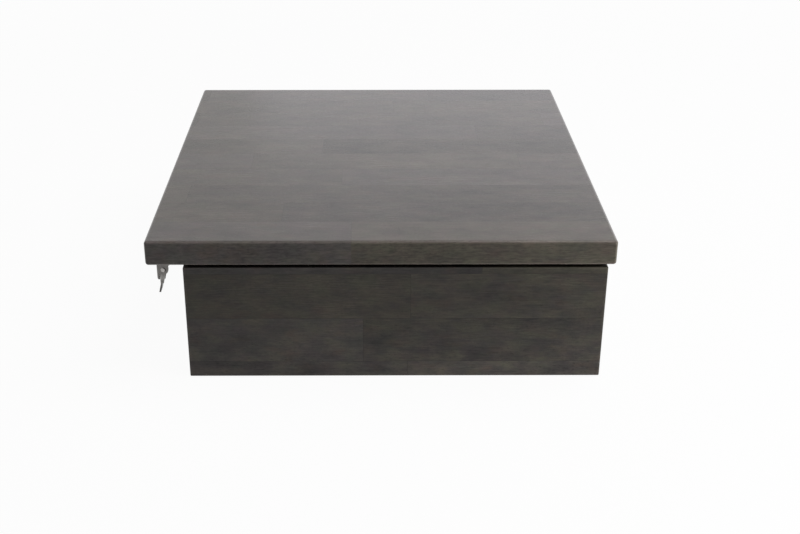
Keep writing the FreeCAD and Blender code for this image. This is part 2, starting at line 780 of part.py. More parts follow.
def make_slide(name):
    side = SIDES[name]
    outer_line = ("outer_balls", "outer_ball_half")
    inner_line = ("inner_balls", "inner_ball_half")
    inward = X * side["sign"]

    section = channel("0", "outer_lip", "outer_half", "rail_gauge")
    length = "slide_rear - slide_front"
    rail = make_channel(
        f"{name}_outer_rail", side, "slide_front", length, section, "rail_gauge", [outer_line]
    )
    outer_screws, inner_screws = [], []
    sink = ("rail_screw_head", "rail_screw_radius", "rail_gauge")
    sizes = ("rail_screw_head", "rail_screw_radius", "rail_gauge", "rail_screw_bite")
    for y in rail_screw_rows():
        centre = (slide_point(side, "rail_gauge", "0")[0], y, "slide_level")
        countersink(rail, centre, -inward, *sink)
        outer_screws.append(countersunk_screw(centre, -inward, *sizes))

    section = channel("middle_web", "inner_lip", "middle_half", "rail_gauge")
    steel = ("slide_front", "rail_length", section, "rail_gauge")
    make_channel(f"{name}_middle_rail", side, *steel, [outer_line, inner_line])

    section = [
        ("slide_thickness", "-inner_half"),
        ("inner_edge", "-inner_half"),
        ("inner_edge", "-inner_half + rail_gauge"),
        ("inner_web", "-inner_half + rail_gauge"),
        ("inner_web", "inner_half - rail_gauge"),
        ("inner_edge", "inner_half - rail_gauge"),
        ("inner_edge", "inner_half"),
        ("slide_thickness", "inner_half"),
    ]
    steel = ("slide_front", "rail_length", section, "rail_gauge")
    rail = make_channel(f"{name}_inner_rail", side, *steel, [inner_line], faces_drawer=False)
    for y in rail_screw_rows():
        centre = (slide_point(side, "inner_web", "0")[0], y, "slide_level")
        countersink(rail, centre, inward, *sink)
        inner_screws.append(countersunk_screw(centre, inward, *sizes))

    make_cage(f"{name}_outer_cage", side, "outer_cage_web", *outer_line)
    make_cage(f"{name}_inner_cage", side, "inner_cage_web", *inner_line)
    make_balls(f"{name}_outer_balls", side, *outer_line)
    make_balls(f"{name}_inner_balls", side, *inner_line)
    make_stop(f"{name}_slide_stop", side)
    return outer_screws, inner_screws


def make_stop(label, side):
    # A block in the rear of the outer rail, which the two moving rails come to when they close
    rear = "slide_front + rail_length + stop_gap"
    stop = new_body(label, (side["inner"], rear, "slide_level"))
    section = rectangle("rail_gauge", "-stop_height / 2", "outer_lip", "stop_height / 2")
    points = [slide_point(side, *point) for point in section]
    pad_outline(stop, "y", rear, "stop_length", points)
    box = stop.Tip.Shape.BoundBox
    lip = box.XMax if side["sign"] > 0 else box.XMin
    rim = edges_along(stop.Tip.Shape, "y", lambda middle: same(middle.x, lip))
    round_edges(stop, "stop_rounding", rim)


# The clips: a pressed housing screwed under the top, and a tongue that swings on a rivet


def make_clip(name):
    middle = CLIPS[name]
    near, far = f"{middle} - clip_span / 2", f"{middle} + clip_span / 2"
    housing = new_body(f"{name}_clip_housing", ("clip_left", middle, "top_underside"))
    plate = rectangle("clip_left", f"{near} - clip_ear", "clip_right", f"{far} + clip_ear")
    pad_outline(housing, "z", "top_underside - clip_gauge", "clip_gauge", plate)
    web = rectangle(near, "top_underside - clip_drop", far, "top_underside")
    pad_outline(housing, "x", "clip_left", "clip_gauge", web)
    for level in (near, f"{far} - clip_gauge"):
        cheek = rectangle("clip_left", "pin_level", "pin_across + lobe_radius", "top_underside")
        pad_outline(housing, "y", level, "clip_gauge", cheek)
        sketch = new_sketch(housing, "y", level)
        draw_circle(sketch, housing, "y", "pin_across", "pin_level", "lobe_radius")
        pad(housing, sketch, "y", "clip_gauge")
    round_housing(housing)
    cut_window(housing, near, far)
    drill(housing, "y", near, "clip_span", 1, "pin_radius", [("pin_across", "pin_level")])
    screws = []
    for y in clip_screw_rows[name]:
        centre = (clip_centre, y, "top_underside - clip_gauge")
        sink = ("clip_screw_head", "clip_screw_radius", "clip_gauge")
        countersink(housing, centre, Z, *sink)
        screws.append(countersunk_screw(centre, Z, *sink, "clip_screw_bite"))

    make_rivet(f"{name}_clip_rivet", near)
    make_tongue(f"{name}_clip_tongue", middle)
    return screws


def round_housing(housing):
    # Rounds the bends from the web to the cheeks, the web's lower corners and the ears' ends
    half, end = size("clip_span") / 2, size("clip_span") / 2 + size("clip_ear")
    web = edges_along(housing.Tip.Shape, "x", lambda m: same(m.z, -size("clip_drop")))
    round_edges(housing, "ear_rounding", web)
    ears = edges_along(housing.Tip.Shape, "z", lambda m: same(abs(m.y), end))
    round_edges(housing, "ear_rounding", ears)
    shape = housing.Tip.Shape
    bends = edges_along(shape, "z", lambda m: same(m.x, 0) and same(abs(m.y), half))
    round_edges(housing, "clip_rounding", bends)


def cut_window(housing, near, far):
    # A window in the web, open below, lets the tongue swing out between two legs
    window = rectangle(
        f"{near} + clip_gauge + web_leg",
        "top_underside - clip_drop",
        f"{far} - clip_gauge - web_leg",
        "pin_level + window_rise",
    )
    cut_outline(housing, "x", "clip_left", "clip_gauge", 1, window)
    level = size("window_rise") - size("pin_drop")
    corners_above = edges_along(housing.Tip.Shape, "x", lambda m: same(m.z, level))
    round_edges(housing, "clip_rounding", corners_above)


def make_rivet(label, near):
    # Turned about its own Y axis: a shank between two crowned heads
    rivet = new_body(label, ("pin_across", near, "pin_level"))
    profile = [
        ("0", "-pin_crown"),
        ("pin_radius", "-pin_crown"),
        ("pin_head", "-pin_crown / 3"),
        ("pin_head", "0"),
        ("pin_radius", "0"),
        ("pin_radius", "clip_span"),
        ("pin_head", "clip_span"),
        ("pin_head", "clip_span + pin_crown / 3"),
        ("pin_radius", "clip_span + pin_crown"),
        ("0", "clip_span + pin_crown"),
    ]
    sketch = new_sketch(rivet, "z", "pin_level")
    points = [(f"pin_across + {x}", f"{near} + {y}") for x, y in profile]
    draw_outline(sketch, rivet, "z", points)
    feature = rivet.newObject("PartDesign::Revolution", label + "_turning")
    feature.Profile = sketch
    axis = next(f for f in rivet.Origin.OriginFeatures if f.Role == "Y_Axis")
    feature.ReferenceAxis = (axis, [""])
    feature.Angle = 360
    finish_feature(rivet, feature, 1)


def make_tongue(label, middle):
    # A strip that hangs from an eye between two narrowing flanges, and flares below its knee to the tip
    near = f"{middle} - tongue_width / 2"
    tongue = new_body(label, ("pin_across", near, "pin_level"))
    sketch = new_sketch(tongue, "y", near)
    draw_circle(sketch, tongue, "y", "pin_across", "pin_level", "tongue_eye")
    pad(tongue, sketch, "y", "tongue_width")
    left = [("knee_offset", "0"), ("knee_offset", "knee_drop"), ("tip_offset", "tongue_length")]
    right = [(f"{x} - tongue_gauge", z) for x, z in left]
    strip = [(f"pin_across - ({x})", f"pin_level - ({z})") for x, z in left + right[::-1]]
    pad_outline(tongue, "y", f"{near} + web_leg", "strip_width", strip)
    drop, offset = size("knee_drop"), size("knee_offset")
    round_bend(tongue, "tongue_bend", drop, offset)
    round_bend(tongue, "tongue_bend + tongue_gauge", drop, offset - size("tongue_gauge"))
    flange = [
        ("pin_across - knee_offset", "pin_level"),
        ("pin_across + flange_head", "pin_level"),
        ("pin_across - knee_offset + tongue_gauge + flange_foot", "pin_level - knee_drop + flange_gap"),
        ("pin_across - knee_offset", "pin_level - knee_drop + flange_gap"),
    ]
    for level in (f"{near} + web_leg", f"{near} + web_leg + strip_width - tongue_gauge"):
        pad_outline(tongue, "y", level, "tongue_gauge", flange)
    bore = "pin_radius + pin_play"
    drill(tongue, "y", near, "tongue_width", 1, bore, [("pin_across", "pin_level")])


def round_bend(tongue, radius, drop, offset):
    # Rounds the edge of a tongue that lies a drop below its rivet and an offset to the left of it
    def chosen(middle):
        return same(-middle.z, drop) and same(-middle.x, offset)

    round_edges(tongue, radius, edges_along(tongue.Tip.Shape, "y", chosen))


def build():
    make_top()
    for name in SIDES:
        make_side(name)
    make_back()
    make_bottom()
    make_panel_fittings()
    make_bumpers()
    make_drawer()
    outer_screws, inner_screws = [], []
    for name in SIDES:
        outer, inner = make_slide(name)
        outer_screws += outer
        inner_screws += inner
    group("outer_rail_screws", outer_screws)
    group("inner_rail_screws", inner_screws)
    clip_screws = []
    for name in CLIPS:
        clip_screws += make_clip(name)
    group("clip_screws", clip_screws)


def check_and_write():
    doc.recompute()
    for thing in doc.Objects:
        if "Invalid" in thing.State or "Error" in thing.State:
            raise RuntimeError(f"{thing.Label} failed: {thing.State}")
    for part in parts:
        if part.Shape.isNull() or not part.Shape.isValid():
            raise RuntimeError(f"{part.Label} has no valid shape")
    os.makedirs("parts", exist_ok=True)
    for part in parts:
        part.Shape.exportStep(f"parts/{part.Label}.step")
        print(part.Label, len(part.Shape.Solids), round(part.Shape.Volume, 1))


build()
check_and_write()
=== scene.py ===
import json
import math

import bpy
from mathutils import Matrix, Vector

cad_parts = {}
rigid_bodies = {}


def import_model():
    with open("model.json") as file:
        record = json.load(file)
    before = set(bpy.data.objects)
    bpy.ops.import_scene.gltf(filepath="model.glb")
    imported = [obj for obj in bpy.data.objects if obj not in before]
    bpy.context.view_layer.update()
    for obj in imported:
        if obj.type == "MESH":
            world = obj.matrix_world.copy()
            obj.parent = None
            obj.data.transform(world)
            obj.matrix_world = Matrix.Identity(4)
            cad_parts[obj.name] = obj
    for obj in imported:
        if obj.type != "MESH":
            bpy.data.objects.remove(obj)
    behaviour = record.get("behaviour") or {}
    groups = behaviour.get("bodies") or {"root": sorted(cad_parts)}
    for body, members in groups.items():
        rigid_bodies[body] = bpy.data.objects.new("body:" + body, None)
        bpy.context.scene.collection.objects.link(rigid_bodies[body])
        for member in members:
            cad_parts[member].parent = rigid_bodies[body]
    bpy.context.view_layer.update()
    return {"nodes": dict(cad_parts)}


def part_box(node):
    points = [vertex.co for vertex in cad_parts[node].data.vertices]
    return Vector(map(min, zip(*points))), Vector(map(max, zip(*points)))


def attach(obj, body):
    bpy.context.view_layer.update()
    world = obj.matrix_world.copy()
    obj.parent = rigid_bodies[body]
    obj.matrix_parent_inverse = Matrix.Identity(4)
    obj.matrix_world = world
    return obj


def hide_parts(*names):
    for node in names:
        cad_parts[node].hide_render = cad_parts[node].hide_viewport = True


for leftover in list(bpy.data.objects):  # the empty start has a cube, a lamp and a camera
    bpy.data.objects.remove(leftover)
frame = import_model()
nodes = frame["nodes"]
bpy.ops.object.select_all(action="DESELECT")
scene = bpy.context.scene
scene.view_settings.view_transform = "Standard"
print("frame loaded:", len(nodes), "nodes")

mixFactor, mixFirst, mixSecond, mixColour = 0, 6, 7, 2  # a Mix node's sockets when it mixes colours


class Wire:
    # a node's output that does sums: 1 - wire * 2 adds Math nodes behind it
    def __init__(self, tree, socket=None):
        self.tree, self.socket = tree, socket

    def node(self, kind, settings=None, sockets=None, out=0):
        made = self.tree.nodes.new(kind)
        for key, value in (settings or {}).items():
            setattr(made, key, value)
        for key, value in (sockets or {}).items():
            if isinstance(value, Wire):
                self.tree.links.new(value.socket, made.inputs[key])
            else:
                made.inputs[key].default_value = value
        return Wire(self.tree, made.outputs[out] if made.outputs else None)

    def out(self, name):
        return Wire(self.tree, self.socket.node.outputs[name])

    def sum(self, operation, *values):
        return self.node("ShaderNodeMath", {"operation": operation}, dict(enumerate(values)))

    def __add__(self, other):
        return self.sum("ADD", self, other)

    def __radd__(self, other):
        return self.sum("ADD", other, self)

    def __sub__(self, other):
        return self.sum("SUBTRACT", self, other)

    def __rsub__(self, other):
        return self.sum("SUBTRACT", other, self)

    def __mul__(self, other):
        return self.sum("MULTIPLY", self, other)

    def __rmul__(self, other):
        return self.sum("MULTIPLY", other, self)

    def __truediv__(self, other):
        return self.sum("DIVIDE", self, other)

    def __rtruediv__(self, other):
        return self.sum("DIVIDE", other, self)

    def __abs__(self):
        return self.sum("ABSOLUTE", self)

    def __pow__(self, other):
        return self.sum("POWER", self, other)

    def floor(self):
        return self.sum("FLOOR", self)

    def fract(self):
        return self.sum("FRACT", self)

    def least(self, other):
        return self.sum("MINIMUM", self, other)

    def most(self, other):
        return self.sum("MAXIMUM", self, other)

    def wave(self):
        # a sine that swings between 0 and 1
        return self.sum("SINE", self) * 0.5 + 0.5

    def rise(self, low, high):
        # 0 below low, 1 above high, smooth between
        ends = {"Value": self, "From Min": low, "From Max": high}
        return self.node("ShaderNodeMapRange", {"interpolation_type": "SMOOTHSTEP"}, ends)

    def split(self):
        parts = self.node("ShaderNodeSeparateXYZ", None, {0: self})
        return parts, parts.out("Y"), parts.out("Z")

    def join(self, x, y, z):
        return self.node("ShaderNodeCombineXYZ", None, {"X": x, "Y": y, "Z": z})

    def vector(self, operation, *values):
        return self.node("ShaderNodeVectorMath", {"operation": operation}, dict(enumerate(values)))

    def noise(self, size, detail=2.0, roughness=0.5, shift=None):
        # size is one cell in metres along each axis; shift reads the noise at another place
        place = self.vector("ADD", self, shift) if shift else self
        sockets = {"Vector": place.vector("DIVIDE", place, size), "Scale": 1.0}
        sockets.update({"Detail": detail, "Roughness": roughness})
        return self.node("ShaderNodeTexNoise", None, sockets)

    def swing(self):
        # noise as a swing of about one to each side of nought
        return (self - 0.5) * 8

    def dashes(self, size, edge, share):
        # short marks at the middles of some cells
        place = self.vector("DIVIDE", self, size)
        cells = self.node("ShaderNodeTexVoronoi", None, {"Vector": place, "Scale": 1.0})
        draw = cells.out("Color").split()[0]
        return (1 - cells.rise(*edge)) * draw.rise(*share)

    def draws(self, kind, socket):
        # three random numbers for each whole value of this wire
        return self.node("ShaderNodeTexWhiteNoise", {"noise_dimensions": kind}, {socket: self}, "Color")

    def mix(self, first, second):
        # colours by this factor
        sockets = {mixFactor: self, mixFirst: first, mixSecond: second}
        return self.node("ShaderNodeMix", {"data_type": "RGBA"}, sockets, mixColour)

    def shade(self, colour):
        # a colour times this value
        kind = {"data_type": "RGBA", "blend_type": "MULTIPLY"}
        sockets = {mixFactor: 1.0, mixFirst: colour, mixSecond: self}
        return self.node("ShaderNodeMix", kind, sockets, mixColour)

    def bump(self, distance):
        return self.node("ShaderNodeBump", None, {"Height": self, "Distance": distance, "Strength": 1.0})


def newFinish(name):
    material = bpy.data.materials.new(name)
    material.use_nodes = True
    material.node_tree.nodes.clear()
    return material, Wire(material.node_tree)


def objectCoords(start):
    return start.node("ShaderNodeTexCoord", None, None, "Object")


def surface(start, **sockets):
    # ends a material in one Principled shader; names such as Base_Color stand for its sockets
    given = {key.replace("_", " "): value for key, value in sockets.items()}
    shader = start.node("ShaderNodeBsdfPrincipled", None, given)
    start.node("ShaderNodeOutputMaterial", None, {"Surface": shader})


def wear(name, material):
    mesh = nodes[name].data
    mesh.materials.clear()
    mesh.materials.append(material)


def rgb(red, green, blue):
    return (red, green, blue, 1.0)


def grainTurn(along, across):
    # turns a board so that its grain runs along x and its staves lie side by side in y
    axes = {"x": Vector((1, 0, 0)), "y": Vector((0, 1, 0)), "z": Vector((0, 0, 1))}
    rows = axes[along], axes[across], axes[along].cross(axes[across])
    return Matrix(rows).to_euler()


def edgeBand(coords, low, high, width):
    # near 1 where two faces of a box meet
    middle, half = (low + high) / 2, (high - low) / 2
    inset = coords.vector("ABSOLUTE", coords.vector("SUBTRACT", coords, middle))
    x, y, z = coords.vector("SUBTRACT", inset, half).split()
    second = x.least(y).most(x.most(y).least(z))
    return second.rise(-width, 0.0)


# stained boards of glued staves: grain along the first axis, staves side by side along the second
stainedBoards = {
    "boards": {
        "top_panel": {
            "grain": "xy",
            "seed": 2427.0,
            "depth": 1.28,
            "slide": 0.04,
            "polish": 0.18,
            "plumShare": 0.55,
            "staveTone": 0.45,
            "speckTone": 0.03,
            "edgeSpeck": 0.155,
        },
        "drawer_front": {
            "grain": "xz",
            "seed": 3350.896,
            # the same stain as the top, made darker here: painted shade, the front lying in the shade of the
            # top
            "depth": 0.75,
            "staveTone": 0.5,
            # painted light and shade on the drawer front: lighter below, darker above
            "paintedBounceAndShade": 0.60,
            "lowerMottle": 0.35,
        },
        "back_panel": {"grain": "xz", "seed": 23.0, "depth": 0.94},
        "left_side_panel": {"grain": "yz", "seed": 31.0, "depth": 0.94},
        "right_side_panel": {"grain": "yz", "seed": 47.0, "depth": 0.94},
    },
    "slate": rgb(0.072, 0.065, 0.062),
    "olive": rgb(0.078, 0.070, 0.053),
    "russet": rgb(0.082, 0.064, 0.051),
    "plum": rgb(0.0755, 0.0625, 0.0575),
    "greenCast": rgb(0.978, 1.030, 0.985),
    "plumCast": rgb(1.035, 0.962, 1.010),
    "russetShare": 0.65,
    "staveWidth": 0.048,
    "staveLength": 0.24,
    "lengthSpread": 0.20,
    "slide": 0.0,
    "staveTone": 0.34,
    "staveHue": 0.9,
    "mottleHue": 0.25,
    "fibreTone": 0.085,
    "ringTone": 0.04,
    "speckTone": 0.07,
    "mottleTone": 0.13,
    "cloudTone": 0.13,
    "fleckTone": 0.5,
    "poreTone": 0.35,
    "seamTone": 0.34,
    # a lighter rim along the edges: rubbed wear and a painted highlight on the rounded edges
    "edgeWearAndHighlight": 0.62,
    "endTone": 0.20,
    "darkest": 0.3,
    "roughness": 0.26,
    "roughSpread": 0.08,
    "fleckRough": 0.03,
    "specular": 0.22,
    "coatRoughness": 0.2,
    "bump": 0.00002,
}
# the pale beech of the drawer box
drawerBoards = dict(
    stainedBoards,
    boards={
        "drawer_inner_front": {"grain": "xz", "seed": 53.0, "depth": 1.0},
        "drawer_back": {"grain": "xz", "seed": 61.0, "depth": 1.0},
        "drawer_left_side": {"grain": "yz", "seed": 71.0, "depth": 1.0},
        "drawer_right_side": {"grain": "yz", "seed": 83.0, "depth": 1.0},
    },
    slate=rgb(0.57, 0.42, 0.27),
    olive=rgb(0.53, 0.37, 0.22),
    russet=rgb(0.48, 0.30, 0.17),
    russetShare=0.6,
    staveWidth=0.09,
    staveLength=0.6,
    staveTone=0.08,
    fibreTone=0.025,
    ringTone=0.05,
    speckTone=0.015,
    mottleTone=0.02,
    cloudTone=0.02,
    fleckTone=0.30,
    poreTone=0.21,
    edgeWearAndHighlight=0.0,
    endTone=0.22,
    roughness=0.48,
    specular=0.4,
    bump=0.00006,
)
# what the wood holds, in metres along, across and into the board
woodNoise = {
    "fibre": {"size": (0.022, 0.0009, 0.0009), "detail": 4, "roughness": 0.65},
    "speck": {"size": (0.0085, 0.0019, 0.0019)},
    "mottle": {"size": (0.030, 0.015, 0.015), "detail": 3, "roughness": 0.6},
    "cloud": {"size": (0.13, 0.06, 0.06)},
    "tint": {"size": (0.030, 0.015, 0.015), "shift": (7, 3, 5)},
    "cast": {"size": (0.022, 0.014, 0.014), "detail": 3, "roughness": 0.65, "shift": (11, 17, 13)},
    "rimPatch": {"size": (0.03, 0.03, 0.03), "detail": 3},
    "swirl": {"size": (0.28, 0.05, 0.05)},
}
woodMarks = {
    "fleck": {"size": (0.0046, 0.0010, 0.0010), "edge": (0.16, 0.40), "share": (0.2, 0.6)},
    "pore": {"size": (0.0014, 0.00035, 0.00035), "edge": (0.14, 0.40), "share": (0.4, 0.7)},
}
woodRings = {
    "width": 0.0036,
    "aside": 0.10,
    "below": 0.03,
    "belowSpread": 0.05,
    "tilt": 0.14,
    "swirl": 0.016,
}
woodRelief = {"fibre": 0.7, "ring": 0.2, "fleck": 0.5, "pore": 0.3, "seam": 0.6}
# from where to where a facing or a noise goes from none to all
woodRanges = {
    "level": (0.2, 0.6),
    "upper": (0.5, 0.95),
    "endGrain": (0.6, 0.95),
    "rimPatch": (0.1, 0.7),
    "russet": (0.52, 0.72),
    "cast": (0.3, 0.7),
}
seamWidth = 0.0005
# the width of the lighter rim, worn and painted as a highlight
rimWidth = 0.0030
rowStarts = 9  # stave lengths over which the rows' starts are spread
treeSpread = (40, 40, 40)  # metres over which the staves' places in the tree are spread


def layStaves(start, turned, look):
    # rows of staves side by side, each row with its own stave length and start
    along, across = turned.split()[:2]
    step = across / look["staveWidth"] + look["seed"]
    row = step.floor()
    lengthDraw, startDraw = row.draws("1D", "W").split()[:2]
    length = lengthDraw * look["lengthSpread"] + look["staveLength"]
    run = (along + look["slide"]) / length + startDraw * rowStarts
    draws = start.join(row, run.floor(), look["seed"]).draws("3D", "Vector")
    inRow = step.fract() - 0.5
    sideGap = (0.5 - abs(inRow)) * look["staveWidth"]
    endGap = (0.5 - abs(run.fract() - 0.5)) * length
    seam = 1 - sideGap.least(endGap).rise(0.0, seamWidth)
    return draws, inRow * look["staveWidth"], seam


def growthRings(turned, place, draws, offset):
    # circles round a heart below the stave, at another place for each
    along, deep = turned.split()[::2]
    asideDraw, belowDraw, tiltDraw = draws.split()
    aside = offset + (asideDraw - 0.5) * woodRings["aside"]
    below = deep + (belowDraw - 0.5) * woodRings["belowSpread"] + woodRings["below"]
    below = below + along * ((tiltDraw - 0.5) * woodRings["tilt"])
    swirl = place.noise(**woodNoise["swirl"])
    reach = (aside * aside + below * below) ** 0.5 + swirl * woodRings["swirl"]
    return (reach * (2 * math.pi / woodRings["width"])).wave()


def stavedWood(node, look):
    material, start = newFinish(node + "Finish")
    low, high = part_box(node)
    turn = grainTurn(*look["grain"])
    coords = objectCoords(start)
    facing = coords.out("Normal")
    upward = facing.split()[2]
    centred = coords.vector("SUBTRACT", coords, (low + high) / 2)
    turned = coords.node("ShaderNodeMapping", None, {"Vector": centred, "Rotation": turn})
    draws, offset, seam = layStaves(start, turned, look)
    hueDraw, toneDraw = draws.split()[1:]

    # each stave is cut from another place of the tree
    place = turned.vector("ADD", turned, draws.vector("MULTIPLY", draws, treeSpread))
    ring = growthRings(turned, place, draws, offset)
    fibre = place.noise(**woodNoise["fibre"])
    speck = place.noise(**woodNoise["speck"])
    mottle = place.noise(**woodNoise["mottle"])
    cloud = place.noise(**woodNoise["cloud"])
    tint = place.noise(**woodNoise["tint"])
    cast = place.noise(**woodNoise["cast"])
    fleck = place.dashes(**woodMarks["fleck"])
    pore = place.dashes(**woodMarks["pore"])

    tone = (toneDraw - 0.5) * look["staveTone"] + (ring - 0.5) * look["ringTone"]
    tone = tone + fibre.swing() * look["fibreTone"] + speck.swing() * look["speckTone"]
    tone = tone + mottle.swing() * look["mottleTone"] + cloud.swing() * look["cloudTone"]
    upright = 1 - abs(upward).rise(*woodRanges["level"])
    if "paintedBounceAndShade" in look:  # painted light and shade: the drawer front is lighter towards its lower edge, as if lit from the floor, and darker towards its upper edge, as if shaded by the top, with stronger mottle below
        lower = 0.5 - (coords.split()[2] - low.z) / (high.z - low.z)
        tone = tone + lower * look["paintedBounceAndShade"] + mottle.swing() * lower.most(0.0) * look["lowerMottle"]
    if "edgeSpeck" in look:
        tone = tone + speck.swing() * upright * look["edgeSpeck"]
    if look["edgeWearAndHighlight"]:  # rubbed edges show less of the stain, and the lighter rim is also a painted highlight where the rounded edges catch light
        rimPatches = place.noise(**woodNoise["rimPatch"]).rise(*woodRanges["rimPatch"])
        tone = tone + edgeBand(coords, low, high, rimWidth) * rimPatches * look["edgeWearAndHighlight"]
    tone = (tone + 1).most(look["darkest"]) * look["depth"]

    # end grain drinks more stain
    turning = {"Vector": facing, "Rotation": turn}
    turnedFacing = facing.node("ShaderNodeMapping", {"vector_type": "NORMAL"}, turning)
    endGrain = abs(turnedFacing.split()[0]).rise(*woodRanges["endGrain"])
    dark = (1 - fleck * look["fleckTone"]) * (1 - pore * look["poreTone"])
    dark = dark * (1 - seam * look["seamTone"]) * (1 - endGrain * look["endTone"])

    hue = (hueDraw - 0.5) * look["staveHue"] + mottle.swing() * look["mottleHue"] + 0.5
    stain = hue.rise(0.0, 1.0).mix(look["slate"], look["olive"])
    stain = (tint.rise(*woodRanges["russet"]) * look["russetShare"]).mix(stain, look["russet"])
    coat = 0.0
    if "polish" in look:  # the upper face is polished, and its stain is redder
        coat = upward.rise(*woodRanges["upper"]) * look["polish"]
        stain = ((1 - upright) * look["plumShare"]).mix(stain, look["plum"])
    stain = cast.rise(*woodRanges["cast"]).mix(look["greenCast"], look["plumCast"]).shade(stain)

    roughness = (fibre - 0.5) * look["roughSpread"] + (cloud - 0.5) * look["roughSpread"]
    height = fibre * woodRelief["fibre"] + ring * woodRelief["ring"] - fleck * woodRelief["fleck"]
    height = height - pore * woodRelief["pore"] - seam * woodRelief["seam"]
    surface(
        start,
        Base_Color=(tone * dark).shade(stain),
        Roughness=roughness + look["roughness"] + fleck * look["fleckRough"],
        Specular_IOR_Level=look["specular"],
        Coat_Weight=coat,
        Coat_Roughness=look["coatRoughness"],
        Normal=height.bump(look["bump"]),
    )
    wear(node, material)


for wood in (stainedBoards, drawerBoards):
    for node, board in wood["boards"].items():
        stavedWood(node, {**wood, **board})
print("boards finished")

# plywood: thin layers, the grain of each across its neighbours
plyBoards = {
    "boards": {
        "bottom_panel": {"ply": 0.00156, "seed": 5.0},
        "drawer_floor": {"ply": 0.00134, "seed": 9.0},
    },
    "pale": rgb(0.60, 0.46, 0.30),
    "brown": rgb(0.42, 0.27, 0.15),
    "layerShift": 3.1,
    "fibre": {"size": (0.06, 0.0011, 0.0011), "detail": 4, "roughness": 0.65},
    "fleck": {"size": (0.0060, 0.0009, 0.0009), "edge": (0.1, 0.34), "share": (0.45, 0.8)},
    "figure": {"size": (0.5, 0.09, 0.4)},
    "figureSlant": 3,
    "figureLines": 60,
    "cloud": {"size": (0.3, 0.1, 0.1)},
    "fibreHue": 0.9,
    "figureHue": 0.22,
    "cloudHue": 0.35,
    "layerHue": 0.15,
    "paler": 0.34,
    "glueTone": 0.35,
    "glueWidth": 0.1,
    "fleckTone": 0.34,
    "roughness": 0.52,
    "roughSpread": 0.12,
    "figureRelief": 0.2,
    "fleckRelief": 0.6,
    "bump": 0.0001,
}


def plywood(node, look):
    material, start = newFinish(node + "Finish")
    x, y, z = objectCoords(start).split()
    layer = (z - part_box(node)[0].z) / look["ply"]
    turned = (layer.floor() * 0.5).fract() * 2  # 0 and 1 in turn
    across = x * turned + y * (1 - turned)
    along = y * turned + x * (1 - turned)
    place = start.join(along + layer.floor() * look["layerShift"], across + look["seed"], z)
    fibre = place.noise(**look["fibre"])
    fleck = place.dashes(**look["fleck"])
    cloud = place.noise(**look["cloud"])
    figure = place.noise(**look["figure"]) + across * look["figureSlant"]
    figure = (figure * look["figureLines"]).wave()
    glueLine = 1 - (0.5 - abs(layer.fract() - 0.5)).rise(0.0, look["glueWidth"])
    hue = fibre * look["fibreHue"] + figure * look["figureHue"] + cloud * look["cloudHue"]
    hue = hue + turned * look["layerHue"] - look["paler"]
    tone = (1 - glueLine * look["glueTone"]) * (1 - fleck * look["fleckTone"])
    height = fibre + figure * look["figureRelief"] - fleck * look["fleckRelief"]
    surface(
        start,
        Base_Color=tone.shade(hue.mix(look["pale"], look["brown"])),
        Roughness=(fibre - 0.5) * look["roughSpread"] + look["roughness"],
        Normal=height.bump(look["bump"]),
    )
    wear(node, material)


for node, board in plyBoards["boards"].items():
    plywood(node, {**plyBoards, **board})
print("plywood finished")

fineNoise = {"detail": 3, "roughness": 0.6}  # for the metals and the moulded pieces

